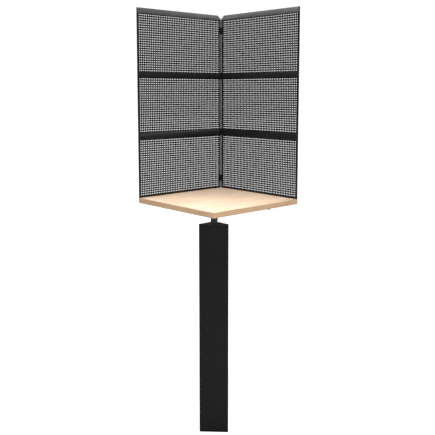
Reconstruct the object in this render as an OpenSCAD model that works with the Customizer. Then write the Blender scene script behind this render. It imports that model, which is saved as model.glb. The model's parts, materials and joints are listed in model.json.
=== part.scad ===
// Corner pegboard display stand: two perforated wings at right angles on a square wooden
// shelf, carried by a three-sided pedestal column and a low foot.
// Millimetres, +Z up. The origin is on the floor under the middle of the shelf.
// The front is -Y: the shelf points one corner at the viewer, and the wings meet at the back.

/* [Shelf] */
// Side of the square shelf, and so the length of each wing
shelf_w = 635; // [480:1:800]
// Thickness of the shelf
shelf_t = 29; // [22:1:40]
// Height of the shelf's top above the floor
shelf_top = 1164; // [900:1:1250]
// Thickness of the edge banding round the shelf
band_t = 2; // [0.5:0.5:4]

/* [Wings] */
// Height of the wings above the shelf
wing_h = 1058; // [900:1:1400]
// Width of a wing post, seen from the front
post_w = 8; // [6:0.5:16]
// Depth of a wing post
post_d = 7; // [6:0.5:20]
// Wall of the posts and of the bottom rail
post_wall = 1.2; // [1:0.1:2]
// Distance of a post's back from the shelf's edge
post_inset = 2; // [2:0.5:10]
// Open gap between the two wings where they meet
corner_gap = 1; // [0.5:0.5:8]
// Height of the top rail
top_rail_h = 31; // [24:1:50]
// Height of the upright lip under the top rail's sloping face
top_rail_lip = 8; // [4:1:12]
// Height of the upper middle rail
upper_rail_h = 32; // [24:1:50]
// Height of the lower middle rail
lower_rail_h = 42; // [24:1:50]
// Distance from the shelf up to the lower middle rail
lower_rail_z = 328; // [280:1:380]
// Distance from the shelf up to the upper middle rail
upper_rail_z = 678; // [640:1:740]
// How far the rails stand proud of the panels
rail_d = 8; // [6:0.5:16]
// Thickness of the rails' folded sheet
rail_t = 1.5; // [1:0.5:2]
// Height of the bottom rail
bottom_rail_h = 8; // [7:0.5:20]

/* [Perforated panels] */
// Thickness of the perforated sheet
panel_t = 1.2; // [0.8:0.1:2]
// Distance between hole centres, both ways
peg_pitch = 12.7; // [12:0.1:30]
// Diameter of a peg hole
peg_d = 6.35; // [4:0.05:9]

/* [Column] */
// Width of the column's flat front
column_w = 156; // [140:1:200]
// Thickness of the column's folded sheet
column_t = 2; // [1.5:0.5:3]
// Distance of the column's front behind the shelf's front corner
column_setback = 15; // [5:1:60]
// Length of the folded returns on the column's front
return_l = 26; // [15:1:30]
// Height of the column's front above the floor
column_clear = 4; // [2:1:8]
// Thickness of the column's cap
cap_t = 3; // [2:0.5:6]
// Side of the square mast inside the column
mast_w = 40; // [30:1:42]
// Wall of the mast
mast_wall = 3; // [2:0.5:4]

/* [Shelf carrier] */
// Side of the square tubes under the shelf
tube_w = 30; // [20:1:40]
// Wall of those tubes
tube_wall = 2; // [1.5:0.5:3]
// Distance from the shelf's back corner to the end of the spine tube
spine_end_gap = 60; // [40:1:120]
// Length of each cross arm
arm_l = 280; // [150:1:290]

/* [Foot] */
// Width of the foot channel
foot_w = 100; // [90:1:104]
// Height of the foot channel
foot_h = 40; // [36:1:60]
// Length of the foot channel
foot_l = 758; // [600:1:800]
// Height of the foot channel above the floor
foot_clear = 10; // [9:1:14]
// Wall of the foot channel
foot_wall = 3; // [2:0.5:4]
// Height of the ballast bar inside the foot
ballast_h = 22; // [10:1:24]
// Diameter of a glide's pad
glide_d = 32; // [24:1:34]
// Travel of a glide
glide_travel = 10; // [5:1:12]

/* [Hidden] */
$fn = 48;

// Colours
black_coat = "#26272a";
mid_coat = "#2f3033";
pale_coat = "#5c5d60";
maple = "#f0d9b8";
maple_edge = "#d9bd92";
zinc = "#b9bcc0";
dark_steel = "#6b6e72";
black_plastic = "#17181a";

// Clearances
seat_gap = 0.2;
thread_gap = 0.05;
hole_gap = 0.25;
joint_gap = 1;

// Derived places in plan
half_diagonal = shelf_w / sqrt(2);
board_w = shelf_w - 2 * band_t;
shelf_under = shelf_top - shelf_t;
cap_top = shelf_under - tube_w;
column_front_y = -half_diagonal + column_setback;
column_apex_y = column_front_y + column_w / 2;
mast_y = column_front_y + mast_w / 2 + column_t + 3;
spine_front_y = mast_y - mast_w / 2;
spine_back_y = half_diagonal - spine_end_gap;

// Derived places in a wing: u runs from the back corner outwards, n from the shelf's edge inwards
post_front_n = post_inset + post_d;
panel_front_n = post_front_n + panel_t;
rail_front_n = panel_front_n + rail_d;
wing_start_u = panel_front_n + corner_gap / sqrt(2);
window_start_u = wing_start_u + post_w;
window_end_u = shelf_w - post_w;
top_rail_z = wing_h - top_rail_h;
panel_bottom_z = joint_gap;
lower_joint_z = lower_rail_z + lower_rail_h / 2;
upper_joint_z = upper_rail_z + upper_rail_h / 2;
panel_top_z = top_rail_z - seat_gap;
lower_window = [bottom_rail_h + 3, lower_rail_z];
middle_window = [lower_rail_z + lower_rail_h, upper_rail_z];
upper_window = [upper_rail_z + upper_rail_h, top_rail_z];
top_rail_ridge_n = panel_front_n + 2;
rail_cut_u = 25;
top_rail_cut_u = top_rail_h - 4;

// Perforation
peg_web = peg_pitch - peg_d;
peg_edge = 2;

// Screws and bolts
panel_screw_d = 3;
panel_head_d = 5.5;
panel_head_h = 1.6;
panel_screw_l = 5;
panel_screw_end = 26;
rail_nut_af = 5.5;
rail_nut_h = 2.4;
rail_screw_l = rail_d + panel_t + rail_nut_h + 1;
rail_screw_inset = 14;
bolt_d = 8;
bolt_head_af = 13;
bolt_head_h = 5.3;
wing_bolt_d = 4;
wing_bolt_head_d = 9;
wing_bolt_head_h = 2.5;
wing_bolt_places = [0.12, 0.5, 0.88];
wood_screw_d = 4.5;
wood_screw_head_d = 9;
wood_screw_head_h = 2.5;
wood_screw_l = 20;

rivet_d = 4;
rivet_head_d = 8;
rivet_head_h = 1.4;
rivet_grip = 2 * column_t + seat_gap;
rivet_end = 60;
rivet_count = 6;

// Shelf carrier
tab_w = 40;
tab_d = 26;
tab_t = 3;
tab_ys = [-250, 250];
tab_arm_x = arm_l - 50;
plug_t = 2;
plug_l = 6;
spine_bolt_offsets = [-5, 11];
head_plate_t = 6;

// Foot
foot_front_y = column_front_y + column_t + 4;
foot_back_y = foot_front_y + foot_l;
foot_top = foot_clear + foot_h;
foot_plate_t = 6;
foot_bolt_setback = 20;
glide_stud_d = 10;
glide_pad_h = 9;
glide_hex_af = 14;
glide_hex_h = 4;
glide_plate_t = 5;
glide_plate_l = 50;
glide_plate_z = glide_pad_h + glide_hex_h + 5;
glide_x = (foot_w - glide_d) / 2;
glide_front_y = foot_front_y + 38;
glide_back_y = foot_back_y - 40;
glide_spare = 6;
stud_top_z = glide_plate_z + glide_plate_t + glide_travel + glide_spare;
ballast_l = foot_l - 178;
ballast_y = foot_front_y + 98;
ballast_bolt_ys = [ballast_y + 60, ballast_y + ballast_l - 60];
clip_h = 40;
clip_zs = [60, lower_rail_z + lower_rail_h / 2, upper_rail_z + upper_rail_h / 2, top_rail_z - 60];

// ---- placing helpers ----

// A wing's own frame: x is u, y is n and z is up from the shelf
module left_wing() {
  translate([0, half_diagonal, shelf_top]) rotate([0, 0, -135]) children();
}

module right_wing() {
  mirror([1, 0, 0]) left_wing() children();
}

module both_wings() {
  left_wing() children();
  right_wing() children();
}

// ---- shared shapes ----

module square_tube(w, l, wall) {
  linear_extrude(l) difference() {
    square(w, center = true);
    square(w - 2 * wall, center = true);
  }
}

module tube_along_y(w, l, wall) {
  rotate([-90, 0, 0]) square_tube(w, l, wall);
}

module upright_post(w, d, h, wall) {
  linear_extrude(h) difference() {
    square([w, d]);
    translate([wall, wall]) square([w - 2 * wall, d - 2 * wall]);
  }
}

module hex_bolt(d, l, af, head_h) {
  cylinder(d = d, h = l);
  translate([0, 0, -head_h]) cylinder(d = af / cos(30), h = head_h, $fn = 6);
}

module button_screw(d, l, head_d, head_h) {
  translate([0, 0, -l]) cylinder(d = d, h = l);
  cylinder(d1 = head_d, d2 = head_d * 0.6, h = head_h);
}

// ---- shelf ----

module shelf_fixing_holes() {
  for (p = tab_holes()) translate([p[0], p[1], shelf_under - 1])
    cylinder(d = wood_screw_d + 2 * thread_gap, h = wood_screw_l);
}

module wing_bolt_places() {
  for (f = wing_bolt_places) translate([window_start_u + f * (window_end_u - window_start_u),
    post_inset + post_d / 2, 0]) children();
}

module shelf_board() {
  color(maple) difference() {
    translate([0, 0, shelf_under]) linear_extrude(shelf_t)
      rotate(45) square(board_w, center = true);
    shelf_fixing_holes();
    both_wings() wing_bolt_places() translate([0, 0, -shelf_t - 1])
      cylinder(d = wing_bolt_d + 2 * hole_gap, h = shelf_t + 2);
  }
}

// Four mitred strips
module shelf_edge_bands() {
  color(maple_edge) for (a = [45:90:315]) rotate([0, 0, a]) translate([0, board_w / 2, shelf_under])
    linear_extrude(shelf_t)
      polygon([[-board_w / 2, 0], [board_w / 2, 0], [shelf_w / 2, band_t], [-shelf_w / 2, band_t]]);
}

// ---- shelf carrier ----

tab_offset = (tube_w + tab_d) / 2;
function spine_tab_places() = [for (y = tab_ys, s = [-1, 1]) [s * tab_offset, y]];
function arm_tab_places() = [for (x = [-tab_arm_x, tab_arm_x], s = [-1, 1]) [x, s * tab_offset]];
function tab_holes() = concat(spine_tab_places(), arm_tab_places());

module shelf_screws() {
  color(zinc) for (p = tab_holes()) translate([p[0], p[1], shelf_under - tab_t]) {
    cylinder(d = wood_screw_d, h = wood_screw_l);
    translate([0, 0, -wood_screw_head_h])
      cylinder(d1 = wood_screw_head_d * 0.6, d2 = wood_screw_head_d, h = wood_screw_head_h);
  }
}

module fixing_tab(size) {
  linear_extrude(tab_t) difference() {
    square(size, center = true);
    circle(d = wood_screw_d + 2 * hole_gap);
  }
}

module fixing_tabs() {
  color(black_coat) translate([0, 0, shelf_under - tab_t]) {
    for (p = spine_tab_places()) translate(p) fixing_tab([tab_d, tab_w]);
    for (p = arm_tab_places()) translate(p) fixing_tab([tab_w, tab_d]);
  }
}

module spine_tube() {
  color(black_coat) difference() {
    translate([0, spine_front_y, cap_top + tube_w / 2])
      tube_along_y(tube_w, spine_back_y - spine_front_y, tube_wall);
    for (e = spine_bolt_offsets) translate([0, mast_y + e, cap_top - 1])
      cylinder(d = bolt_d + 2 * hole_gap, h = tube_wall + 2);
  }
}

module cross_arm() {
  translate([tube_w / 2, 0, cap_top + tube_w / 2])
    rotate([0, 90, 0]) square_tube(tube_w, arm_l, tube_wall);
}

module cross_arm_left() {
  color(black_coat) mirror([1, 0, 0]) cross_arm();
}

module cross_arm_right() {
  color(black_coat) cross_arm();
}

module end_plug() {
  bore = tube_w - 2 * tube_wall - 2 * seat_gap;
  translate([0, 0, -plug_l]) linear_extrude(plug_l) difference() {
    square(bore, center = true);
    square(bore - 4, center = true);
  }
  linear_extrude(plug_t) square(tube_w, center = true);
}

module tube_end_plugs() {
  color(black_plastic) translate([0, 0, cap_top + tube_w / 2]) {
    translate([0, spine_front_y, 0]) rotate([90, 0, 0]) end_plug();
    translate([0, spine_back_y, 0]) rotate([-90, 0, 0]) end_plug();
    translate([tube_w / 2 + arm_l, 0, 0]) rotate([0, 90, 0]) end_plug();
    translate([-tube_w / 2 - arm_l, 0, 0]) rotate([0, -90, 0]) end_plug();
  }
}

module spine_bolts() {
  color(zinc) for (e = spine_bolt_offsets) translate([0, mast_y + e, cap_top + tube_wall])
    rotate([180, 0, 0]) hex_bolt(bolt_d, tube_wall + head_plate_t + 6, bolt_head_af, bolt_head_h);
}

// ---- column ----

// The column's outline, moved inwards by inset. The two back faces meet at a right angle.
function column_outline(inset) =
  let (half = column_w / 2 - inset * (1 + sqrt(2)))
  [[-half, column_front_y + inset], [half, column_front_y + inset],
   [0, column_front_y + inset + half]];

module column_section(inset) {
  polygon(column_outline(inset));
}

module column_front() {
  keep = return_l / sqrt(2);
  color(mid_coat) difference() {
    translate([0, 0, column_clear]) linear_extrude(cap_top - cap_t - column_clear) intersection() {
      difference() {
        column_section(0);
        column_section(column_t);
      }
      translate([-column_w / 2, column_front_y]) square([column_w, keep]);
    }
    rivet_holes();
  }
}

module column_rear() {
  outer = column_t + seat_gap;
  color(black_coat) difference() {
    translate([0, 0, foot_top]) linear_extrude(cap_top - cap_t - foot_top) difference() {
      column_section(outer);
      column_section(outer + column_t);
      translate([-column_w / 2, column_front_y]) square([column_w, column_t + 4]);
    }
    rivet_holes();
  }
}

// Rivets hold each return of the front to the rear angle. Z points out of the return's face.
module rivet_places() {
  reach = (return_l - 10) / sqrt(2);
  first_z = foot_top + rivet_end;
  last_z = cap_top - cap_t - rivet_end;
  for (s = [-1, 1], k = [0:rivet_count - 1])
    translate([s * (column_w / 2 - reach), column_front_y + reach,
      first_z + k * (last_z - first_z) / (rivet_count - 1)])
      rotate([0, 90, s > 0 ? 45 : 135]) children();
}

module rivet_holes() {
  rivet_places() translate([0, 0, -rivet_grip - 2])
    cylinder(d = rivet_d + 2 * thread_gap, h = rivet_grip + 4);
}

module column_rivets() {
  color(black_coat) rivet_places() {
    translate([0, 0, -rivet_grip - 1]) cylinder(d = rivet_d, h = rivet_grip + 1);
    cylinder(d1 = rivet_head_d, d2 = rivet_head_d * 0.6, h = rivet_head_h);
  }
}

module column_cap() {
  color(mid_coat) translate([0, 0, cap_top - cap_t]) linear_extrude(cap_t) difference() {
    column_section(0);
    translate([0, mast_y]) square(mast_w + 2 * seat_gap, center = true);
  }
}

module mast_tube() {
  z = foot_top + foot_plate_t;
  color(dark_steel) translate([0, mast_y, z])
    square_tube(mast_w, cap_top - head_plate_t - z, mast_wall);
}

module mast_head_plate() {
  color(dark_steel) translate([0, mast_y, cap_top - head_plate_t]) linear_extrude(head_plate_t)
    difference() {
      square(mast_w, center = true);
      for (e = spine_bolt_offsets) translate([0, e]) circle(d = bolt_d + 2 * thread_gap);
    }
}

function foot_bolt_places() = let (back = column_apex_y - 18, side = foot_w / 2 - 14)
  [[-side, column_front_y + foot_bolt_setback], [side, column_front_y + foot_bolt_setback], [0, back]];

module foot_plate() {
  color(dark_steel) translate([0, 0, foot_top]) linear_extrude(foot_plate_t) difference() {
    column_section(2 * column_t + 2 * seat_gap);
    for (p = foot_bolt_places()) translate(p) circle(d = bolt_d + 2 * thread_gap);
  }
}

module foot_plate_bolts() {
  color(zinc) for (p = foot_bolt_places()) translate([p[0], p[1], foot_top - foot_wall])
    hex_bolt(bolt_d, foot_wall + foot_plate_t + 3, bolt_head_af, bolt_head_h);
}

// ---- foot ----

module foot_channel() {
  color(black_coat) difference() {
    translate([-foot_w / 2, foot_front_y, foot_clear]) cube([foot_w, foot_l, foot_h]);
    translate([-foot_w / 2 + foot_wall, foot_front_y - 1, foot_clear - 1])
      cube([foot_w - 2 * foot_wall, foot_l + 2, foot_h - foot_wall + 1]);
    for (p = foot_bolt_places()) translate([p[0], p[1], foot_top - foot_wall - 1])
      cylinder(d = bolt_d + 2 * hole_gap, h = foot_wall + 2);
    for (y = ballast_bolt_ys) translate([0, y, foot_top - foot_wall - 1])
      cylinder(d = bolt_d + 2 * hole_gap, h = foot_wall + 2);
  }
}

module foot_end_plates() {
  inner_w = foot_w - 2 * foot_wall;
  color(black_coat) for (y = [foot_front_y, foot_back_y - foot_wall])
    translate([-inner_w / 2, y, foot_clear]) cube([inner_w, foot_wall, foot_h - foot_wall]);
}

module ballast_bar() {
  w = foot_w - 2 * foot_wall - 6;
  color(dark_steel) difference() {
    translate([-w / 2, ballast_y, foot_top - foot_wall - ballast_h]) cube([w, ballast_l, ballast_h]);
    for (y = ballast_bolt_ys) translate([0, y, foot_top - foot_wall - ballast_h - 1])
      cylinder(d = bolt_d + 2 * thread_gap, h = ballast_h + 2);
  }
}

module ballast_bolts() {
  color(zinc) for (y = ballast_bolt_ys) translate([0, y, foot_top])
    button_screw(bolt_d, foot_wall + ballast_h - 2, 14, 4);
}

module glide_plates() {
  inner_w = foot_w - 2 * foot_wall;
  color(dark_steel) for (y = [glide_front_y, glide_back_y]) translate([0, y, glide_plate_z])
    linear_extrude(glide_plate_t) difference() {
      square([inner_w, glide_plate_l], center = true);
      for (s = [-1, 1]) translate([s * glide_x, 0]) circle(d = glide_stud_d + 2 * thread_gap);
    }
}

module glide_stud(side, y) {
  color(zinc) translate([side * glide_x, y, glide_pad_h]) {
    cylinder(d = glide_hex_af / cos(30), h = glide_hex_h, $fn = 6);
    translate([0, 0, glide_hex_h]) cylinder(d = glide_stud_d, h = stud_top_z - glide_pad_h - glide_hex_h);
  }
}

module glide_pad(side, y) {
  edge = 2;
  color(black_plastic) translate([side * glide_x, y, 0]) rotate_extrude()
    polygon([[0, 0], [glide_d / 2 - edge, 0], [glide_d / 2, edge], [glide_d / 2, edge + 1],
      [glide_hex_af / 2 + 1, glide_pad_h], [0, glide_pad_h]]);
}

module glide_stud_front_left() { glide_stud(-1, glide_front_y); }
module glide_stud_front_right() { glide_stud(1, glide_front_y); }
module glide_stud_rear_left() { glide_stud(-1, glide_back_y); }
module glide_stud_rear_right() { glide_stud(1, glide_back_y); }
module glide_pad_front_left() { glide_pad(-1, glide_front_y); }
module glide_pad_front_right() { glide_pad(1, glide_front_y); }
module glide_pad_rear_left() { glide_pad(-1, glide_back_y); }
module glide_pad_rear_right() { glide_pad(1, glide_back_y); }

// ---- wings ----

// Heights of the three screws at each side of a panel
function screw_zs(lo, hi) = [lo + panel_screw_end, (lo + hi) / 2, hi - panel_screw_end];
function all_screw_zs() = concat(screw_zs(lower_window[0], lower_window[1]),
  screw_zs(middle_window[0], middle_window[1]), screw_zs(upper_window[0], upper_window[1]));
function post_mids() = [wing_start_u + post_w / 2, shelf_w - post_w / 2];
function rail_screw_us() = [window_start_u + rail_screw_inset, (window_start_u + window_end_u) / 2,
  window_end_u - rail_screw_inset];
function rail_screw_zs() = [lower_rail_z + lower_rail_h / 4, upper_rail_z + upper_rail_h / 4];

module post(start_u) {
  difference() {
    translate([start_u, post_inset, 0]) upright_post(post_w, post_d, top_rail_z, post_wall);
    for (z = all_screw_zs())
      translate([start_u + post_w / 2, post_front_n - post_wall - 1, z])
        rotate([-90, 0, 0]) cylinder(d = panel_screw_d + 2 * thread_gap, h = post_wall + 2);
    if (start_u == wing_start_u) for (z = clip_zs)
      translate([start_u + post_w / 2, post_inset - 1, z])
        rotate([-90, 0, 0]) cylinder(d = panel_screw_d + 2 * thread_gap, h = post_wall + 2);
  }
}

module outer_post_left() { color(black_coat) left_wing() post(shelf_w - post_w); }
module outer_post_right() { color(black_coat) right_wing() post(shelf_w - post_w); }
module inner_post_left() { color(black_coat) left_wing() post(wing_start_u); }
module inner_post_right() { color(black_coat) right_wing() post(wing_start_u); }

module bottom_rail() {
  difference() {
    translate([window_start_u, post_inset + post_d / 2, bottom_rail_h / 2]) rotate([0, 90, 0])
      linear_extrude(window_end_u - window_start_u) difference() {
        square([bottom_rail_h, post_d], center = true);
        square([bottom_rail_h - 2 * post_wall, post_d - 2 * post_wall], center = true);
      }
    wing_bolt_places() translate([0, 0, -1])
      cylinder(d = wing_bolt_d + 2 * thread_gap, h = post_wall + 2);
  }
}

module bottom_rail_left() { color(black_coat) left_wing() bottom_rail(); }
module bottom_rail_right() { color(black_coat) right_wing() bottom_rail(); }

// The top rail's closed section in n and z, moved inwards by inset. Its face leans back.
module top_rail_outline(inset) {
  polygon([[post_inset + inset, inset], [post_inset + inset, top_rail_h - inset],
    [top_rail_ridge_n - inset * 0.7, top_rail_h - inset],
    [rail_front_n - inset, top_rail_lip - inset * 0.3], [rail_front_n - inset, inset]]);
}

module top_rail_section() {
  difference() {
    top_rail_outline(0);
    top_rail_outline(rail_t);
  }
}

// Runs a section drawn in n and z along u
module along_u(start, end) {
  translate([start, 0, 0]) rotate([90, 0, 90]) linear_extrude(end - start) children();
}

// What is cut off the inner end of a rail: the mitre in plan and the sloping upper corner
module mitre_cut(h) {
  reach = 60;
  translate([corner_gap / sqrt(2), 0, -reach]) linear_extrude(h + 2 * reach)
    polygon([[-reach, 0], [0, 0], [reach, reach], [-reach, reach]]);
}

module corner_cut(start_u, h, cut_u, cut_z) {
  over = 20;
  translate([start_u, 0, h]) rotate([90, 0, 0]) translate([0, 0, -rail_front_n - over])
    linear_extrude(rail_front_n + 2 * over)
      polygon([[-over, -cut_z - over * cut_z / cut_u], [cut_u + over, over * cut_z / cut_u],
        [-over, over * cut_z / cut_u]]);
}

// Everything nearer the back corner than the wing's start
module start_cut(h) {
  translate([-1, -1, -1]) cube([wing_start_u + 1, rail_front_n + 2, h + 2]);
}

module top_rail() {
  translate([0, 0, top_rail_z]) difference() {
    along_u(0, shelf_w) top_rail_section();
    start_cut(top_rail_h);
    mitre_cut(top_rail_h);
    corner_cut(wing_start_u, top_rail_h, top_rail_cut_u, top_rail_h);
  }
}

module top_rail_left() { color(pale_coat) left_wing() top_rail(); }
module top_rail_right() { color(pale_coat) right_wing() top_rail(); }

// Plates inside the top rail: one closes its outer end, the other its sloping inner end
module top_rail_ends() {
  inset = rail_t + seat_gap;
  plate_u = rail_t * 1.5;
  translate([0, 0, top_rail_z]) {
    along_u(shelf_w - rail_t, shelf_w) top_rail_outline(inset);
    intersection() {
      difference() {
        along_u(0, 3 * top_rail_h) top_rail_outline(inset);
        start_cut(top_rail_h);
        mitre_cut(top_rail_h);
        corner_cut(wing_start_u, top_rail_h, top_rail_cut_u, top_rail_h);
      }
      corner_cut(wing_start_u + plate_u, top_rail_h, top_rail_cut_u, top_rail_h);
    }
  }
}

module top_rail_end_plates() {
  color(pale_coat) both_wings() top_rail_ends();
}

module middle_rail(z, h) {
  cut_z = h * 0.6;
  translate([0, 0, z]) difference() {
    along_u(panel_front_n, shelf_w) difference() {
      translate([panel_front_n, 0]) square([rail_d, h]);
      translate([panel_front_n - 1, rail_t]) square([rail_d - rail_t + 1, h - 2 * rail_t]);
    }
    mitre_cut(h);
    corner_cut(wing_start_u, h, rail_cut_u, cut_z);
    for (u = rail_screw_us()) translate([u, rail_front_n - rail_t - 1, h / 4])
      rotate([-90, 0, 0]) cylinder(d = panel_screw_d + 2 * hole_gap, h = rail_t + 2);
  }
}

module upper_rail_left() { color(black_coat) left_wing() middle_rail(upper_rail_z, upper_rail_h); }
module upper_rail_right() { color(black_coat) right_wing() middle_rail(upper_rail_z, upper_rail_h); }
module lower_rail_left() { color(black_coat) left_wing() middle_rail(lower_rail_z, lower_rail_h); }
module lower_rail_right() { color(black_coat) right_wing() middle_rail(lower_rail_z, lower_rail_h); }

module rail_end(z, h) {
  translate([shelf_w - rail_t, panel_front_n, z + rail_t])
    cube([rail_t, rail_d - rail_t, h - 2 * rail_t]);
}

module rail_end_plates() {
  color(black_coat) both_wings() {
    rail_end(upper_rail_z, upper_rail_h);
    rail_end(lower_rail_z, lower_rail_h);
  }
}

// ---- perforated panels ----

// A panel from bottom to top, with its holes centred in the window that the rails leave
module peg_panel(bottom, top, window) {
  span_u = window_end_u - window_start_u;
  span_z = window[1] - window[0];
  cols = floor((span_u - 2 * peg_edge + peg_web) / peg_pitch);
  rows = floor((span_z - 2 * peg_edge + peg_web) / peg_pitch);
  first_u = window_start_u + (span_u - (cols - 1) * peg_pitch) / 2;
  first_z = window[0] + (span_z - (rows - 1) * peg_pitch) / 2;
  translate([0, post_front_n + panel_t, 0]) rotate([90, 0, 0]) linear_extrude(panel_t) difference() {
    translate([wing_start_u, bottom]) square([shelf_w - wing_start_u, top - bottom]);
    for (i = [0:cols - 1], j = [0:rows - 1])
      translate([first_u + i * peg_pitch, first_z + j * peg_pitch]) circle(d = peg_d, $fn = 24);
    for (p = panel_hole_places())
      if (p[1] > bottom && p[1] < top) translate(p) circle(d = panel_screw_d + 2 * hole_gap, $fn = 24);
  }
}

function panel_hole_places() = concat([for (u = post_mids(), z = all_screw_zs()) [u, z]],
  [for (u = rail_screw_us(), z = rail_screw_zs()) [u, z]]);

module lower_panel() { peg_panel(panel_bottom_z, lower_joint_z - joint_gap / 2, lower_window); }
module middle_panel() {
  peg_panel(lower_joint_z + joint_gap / 2, upper_joint_z - joint_gap / 2, middle_window);
}
module upper_panel() { peg_panel(upper_joint_z + joint_gap / 2, panel_top_z, upper_window); }

module peg_panel_lower_left() { color(black_coat) left_wing() lower_panel(); }
module peg_panel_middle_left() { color(black_coat) left_wing() middle_panel(); }
module peg_panel_upper_left() { color(black_coat) left_wing() upper_panel(); }
module peg_panel_lower_right() { color(black_coat) right_wing() lower_panel(); }
module peg_panel_middle_right() { color(black_coat) right_wing() middle_panel(); }
module peg_panel_upper_right() { color(black_coat) right_wing() upper_panel(); }

// ---- fasteners of the wings ----

module panel_screws() {
  color(black_plastic) both_wings() for (u = post_mids(), z = all_screw_zs())
    translate([u, panel_front_n, z]) rotate([-90, 0, 0])
      button_screw(panel_screw_d, panel_screw_l, panel_head_d, panel_head_h);
}

module rail_screws() {
  color(black_plastic) both_wings() for (u = rail_screw_us(), z = rail_screw_zs())
    translate([u, rail_front_n, z]) rotate([-90, 0, 0])
      button_screw(panel_screw_d, rail_screw_l, panel_head_d, panel_head_h);
}

// Nuts behind the panels
module rail_nuts() {
  color(zinc) both_wings() for (u = rail_screw_us(), z = rail_screw_zs())
    translate([u, post_front_n, z]) rotate([90, 0, 0]) difference() {
      cylinder(d = rail_nut_af / cos(30), h = rail_nut_h, $fn = 6);
      translate([0, 0, -1]) cylinder(d = panel_screw_d + 2 * thread_gap, h = rail_nut_h + 2);
    }
}

// Bolts from under the shelf up into the bottom rails
module wing_bolts() {
  color(zinc) both_wings() wing_bolt_places() translate([0, 0, -shelf_t]) {
    cylinder(d = wing_bolt_d, h = shelf_t + post_wall + 4);
    translate([0, 0, -wing_bolt_head_h])
      cylinder(d1 = wing_bolt_head_d * 0.7, d2 = wing_bolt_head_d, h = wing_bolt_head_h);
  }
}

// Angles behind the two inner posts. The left wing's n is the right wing's u.
module corner_clips() {
  reach = wing_start_u + post_w;
  screw_u = wing_start_u + post_w / 2;
  color(black_coat) left_wing() for (z = clip_zs) difference() {
    translate([0, 0, z - clip_h / 2]) linear_extrude(clip_h) difference() {
      square(reach);
      translate([post_inset, post_inset]) square(reach);
    }
    translate([screw_u, -1, z]) rotate([-90, 0, 0])
      cylinder(d = panel_screw_d + 2 * hole_gap, h = post_inset + 2);
    translate([-1, screw_u, z]) rotate([0, 90, 0])
      cylinder(d = panel_screw_d + 2 * hole_gap, h = post_inset + 2);
  }
}

module corner_screws() {
  color(black_plastic) both_wings() for (z = clip_zs)
    translate([wing_start_u + post_w / 2, 0, z]) rotate([90, 0, 0])
      button_screw(panel_screw_d, post_inset + post_wall + 3, panel_head_d, panel_head_h);
}

shelf_board();
shelf_edge_bands();
shelf_screws();
spine_tube();
cross_arm_left();
cross_arm_right();
tube_end_plugs();
fixing_tabs();
spine_bolts();
column_front();
column_rear();
column_rivets();
column_cap();
mast_tube();
mast_head_plate();
foot_plate();
foot_plate_bolts();
foot_channel();
foot_end_plates();
ballast_bar();
ballast_bolts();
glide_plates();
glide_stud_front_left();
glide_stud_front_right();
glide_stud_rear_left();
glide_stud_rear_right();
glide_pad_front_left();
glide_pad_front_right();
glide_pad_rear_left();
glide_pad_rear_right();
outer_post_left();
outer_post_right();
inner_post_left();
inner_post_right();
bottom_rail_left();
bottom_rail_right();
top_rail_left();
top_rail_right();
top_rail_end_plates();
upper_rail_left();
upper_rail_right();
lower_rail_left();
lower_rail_right();
rail_end_plates();
peg_panel_lower_left();
peg_panel_middle_left();
peg_panel_upper_left();
peg_panel_lower_right();
peg_panel_middle_right();
peg_panel_upper_right();
panel_screws();
rail_screws();
rail_nuts();
wing_bolts();
corner_clips();
corner_screws();
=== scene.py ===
# %% [markdown]
# # A corner pegboard display stand
# The stand has two perforated steel wings on a square maple shelf, a three-sided steel column
# and a low foot behind it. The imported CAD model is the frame: it fixes every size and place,
# and this script gives each piece its bends, eased edges, holes and finish.

# %% Load the frame
import json
import math

import bmesh
import bpy
import numpy as np
from mathutils import Matrix, Vector

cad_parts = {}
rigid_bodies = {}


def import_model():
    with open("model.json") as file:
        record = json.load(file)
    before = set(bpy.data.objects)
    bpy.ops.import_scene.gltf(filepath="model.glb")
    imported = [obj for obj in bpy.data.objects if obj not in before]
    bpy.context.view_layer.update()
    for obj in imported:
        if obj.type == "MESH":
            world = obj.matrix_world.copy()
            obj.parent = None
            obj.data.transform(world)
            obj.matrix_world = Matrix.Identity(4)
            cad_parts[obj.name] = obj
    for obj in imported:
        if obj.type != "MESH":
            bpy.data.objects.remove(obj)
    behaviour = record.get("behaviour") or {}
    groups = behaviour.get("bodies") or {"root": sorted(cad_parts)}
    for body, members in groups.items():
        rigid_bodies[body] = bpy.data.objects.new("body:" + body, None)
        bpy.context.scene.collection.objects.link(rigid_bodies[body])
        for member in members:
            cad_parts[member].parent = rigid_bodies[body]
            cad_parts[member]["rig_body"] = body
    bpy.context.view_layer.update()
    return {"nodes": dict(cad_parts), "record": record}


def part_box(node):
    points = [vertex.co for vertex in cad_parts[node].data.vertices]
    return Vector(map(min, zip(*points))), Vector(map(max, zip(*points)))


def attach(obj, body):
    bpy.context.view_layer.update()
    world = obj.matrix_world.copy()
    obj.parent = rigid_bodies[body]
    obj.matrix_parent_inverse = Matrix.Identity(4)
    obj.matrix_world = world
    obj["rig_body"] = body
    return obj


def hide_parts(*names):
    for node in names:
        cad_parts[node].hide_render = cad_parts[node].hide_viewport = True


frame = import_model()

# %% [markdown]
# ## Units and places
# The frame is in metres, but a maker thinks in millimetres, so one constant turns them.
# Each wing has its own directions: u runs from the back corner outwards and n runs from the
# shelf's edge inwards. Both are measured from the frame, so the script follows the CAD model.

# %% Wing coordinates
MM = 0.001
SIDES = {"left": -1, "right": 1}
half_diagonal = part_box("shelf_edge_bands")[1].y
shelf_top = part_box("shelf_board")[1].z


def vertex_array(obj):
    places = np.empty(len(obj.data.vertices) * 3)
    obj.data.vertices.foreach_get("co", places)
    return places.reshape(-1, 3)


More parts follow.
